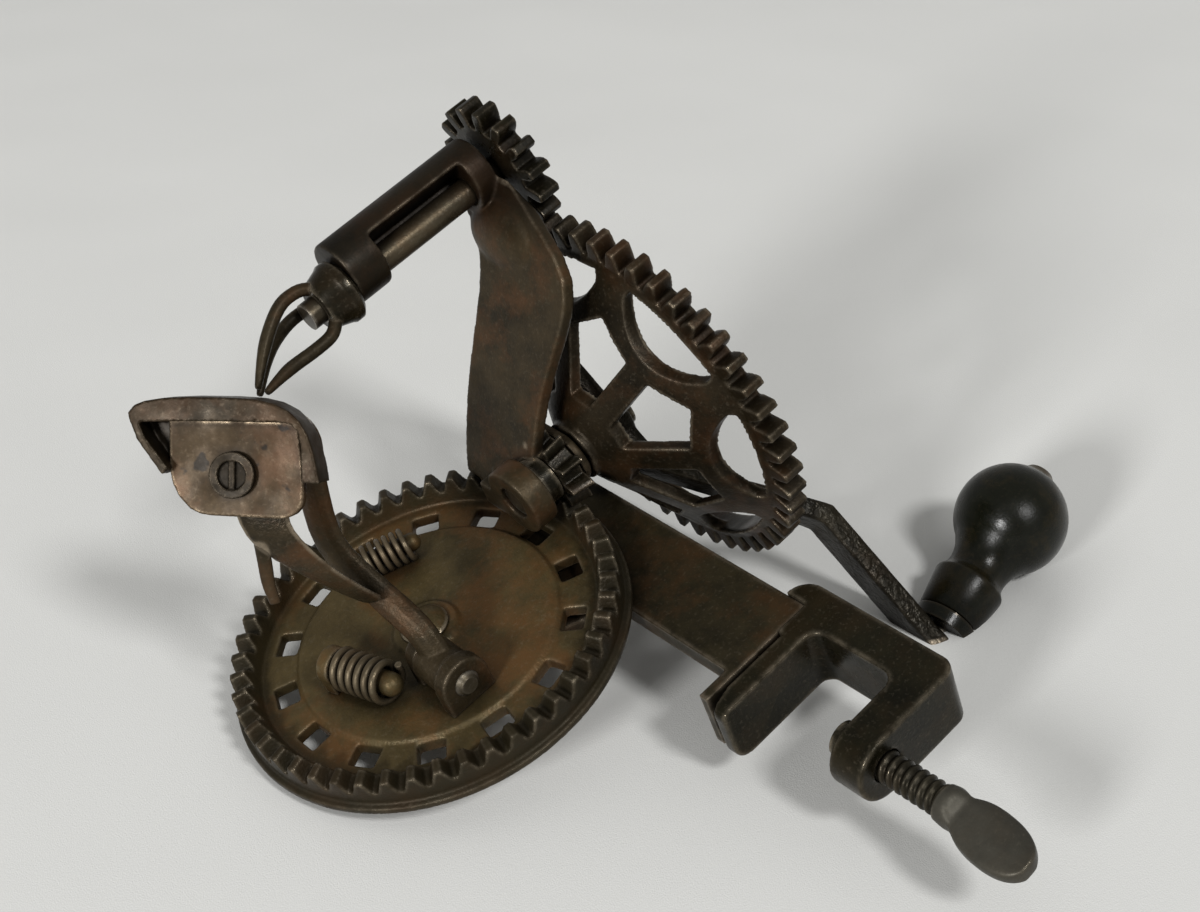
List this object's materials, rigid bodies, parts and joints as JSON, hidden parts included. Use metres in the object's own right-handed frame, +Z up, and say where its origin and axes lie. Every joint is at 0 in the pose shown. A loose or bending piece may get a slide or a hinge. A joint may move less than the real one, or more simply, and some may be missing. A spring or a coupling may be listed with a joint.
{
  "type": "apple peeler",
  "caption": "Hand cranked apple peeler for a table edge: a dished gear wheel spins a pronged fork while a bevel-toothed turntable swings a sprung knife; a C-clamp with a winged screw holds it.",
  "frame": {"origin": "on the clamp screw's axis, at the underside of the clamp's upper jaw, where it meets the table top", "axes": "+Z up from the table top, +X along the crank shaft towards the handle, -Y out of the turntable's face"},
  "size_m": [0.2312, 0.1801, 0.2329],
  "materials": {
    "cast_iron": "dark brown worn cast iron",
    "steel": "dulled dark steel",
    "black_wood": "black paint, half gloss"
  },
  "bodies": {
    "frame": {"frame_plate": "cast_iron", "clamp_frame": "cast_iron", "clamp_boss": "cast_iron", "post_casting": "cast_iron", "fork_barrel": "cast_iron", "pivot_stud": "steel"},
    "crank": {"crank_shaft": "steel", "shaft_collar": "cast_iron", "drive_wheel": "cast_iron", "bevel_pinion": "cast_iron", "crank_arm": "cast_iron", "handle_stud": "steel", "handle_ferrule": "cast_iron"},
    "knob": {"handle_knob": "black_wood"},
    "fork": {"fork_spindle": "steel", "fork_pinion": "cast_iron", "fork_collar": "cast_iron", "prong_upper": "steel", "prong_front": "steel", "prong_lower": "steel"},
    "turntable": {"turntable": "cast_iron", "hinge_ears": "cast_iron", "hinge_pin": "steel", "spring_stud_lower": "cast_iron", "spring_stud_upper": "cast_iron", "spring_lower": "steel", "spring_upper": "steel"},
    "knife": {"knife_arm": "cast_iron", "knife_guard": "cast_iron", "knife_plate": "cast_iron", "blade_screw": "steel", "knife_blade": "steel", "knife_brace": "cast_iron", "knife_hook": "steel"},
    "pad": {"screw_pad": "cast_iron"},
    "screw": {"clamp_screw": "steel", "screw_wing": "cast_iron"}
  },
  "joints": [
    {"name": "crank_spin", "type": "hinge", "parent": "frame", "child": "crank", "pos_m": [-0.0465, -0.0305, 0.088], "axis": [1, 0, 0], "range_deg": [-45, 340]},
    {"name": "knob_spin", "type": "hinge", "parent": "crank", "child": "knob", "pos_m": [0.0615, 0.05002, 0.01159], "axis": [0.9796, -0.1459, 0.1384], "continuous": true},
    {"name": "fork_spin", "type": "hinge", "parent": "frame", "child": "fork", "pos_m": [-0.0465, -0.09953, 0.12167], "axis": [1, 0, 0], "range_deg": [-1025, 140]},
    {"name": "turntable_spin", "type": "hinge", "parent": "frame", "child": "turntable", "pos_m": [-0.0465, -0.011, 0.088], "axis": [0, -1, 0], "range_deg": [-9, 64]},
    {"name": "knife_tilt", "type": "hinge", "parent": "turntable", "child": "knife", "pos_m": [-0.0545, -0.0235, 0.066], "axis": [0, 0, -1], "range_deg": [0, 30], "stiffness_Nm_per_rad": 0.5, "springref_deg": -20.05},
    {"name": "clamp_travel", "type": "slide", "parent": "frame", "child": "pad", "axis": [0, 0, 1], "range_m": [-0.0008, 0.015]},
    {"name": "clamp_turn", "type": "hinge", "parent": "pad", "child": "screw", "pos_m": [0, 0, -0.03], "axis": [0, 0, 1], "range_deg": [-118, 2165]}
  ],
  "couplings": [
    {"joint": "fork_spin", "follows": "crank_spin", "ratio": -3},
    {"joint": "turntable_spin", "follows": "crank_spin", "ratio": 0.1875},
    {"joint": "clamp_turn", "follows": "clamp_travel", "rad_per_m": 2513.3}
  ]
}
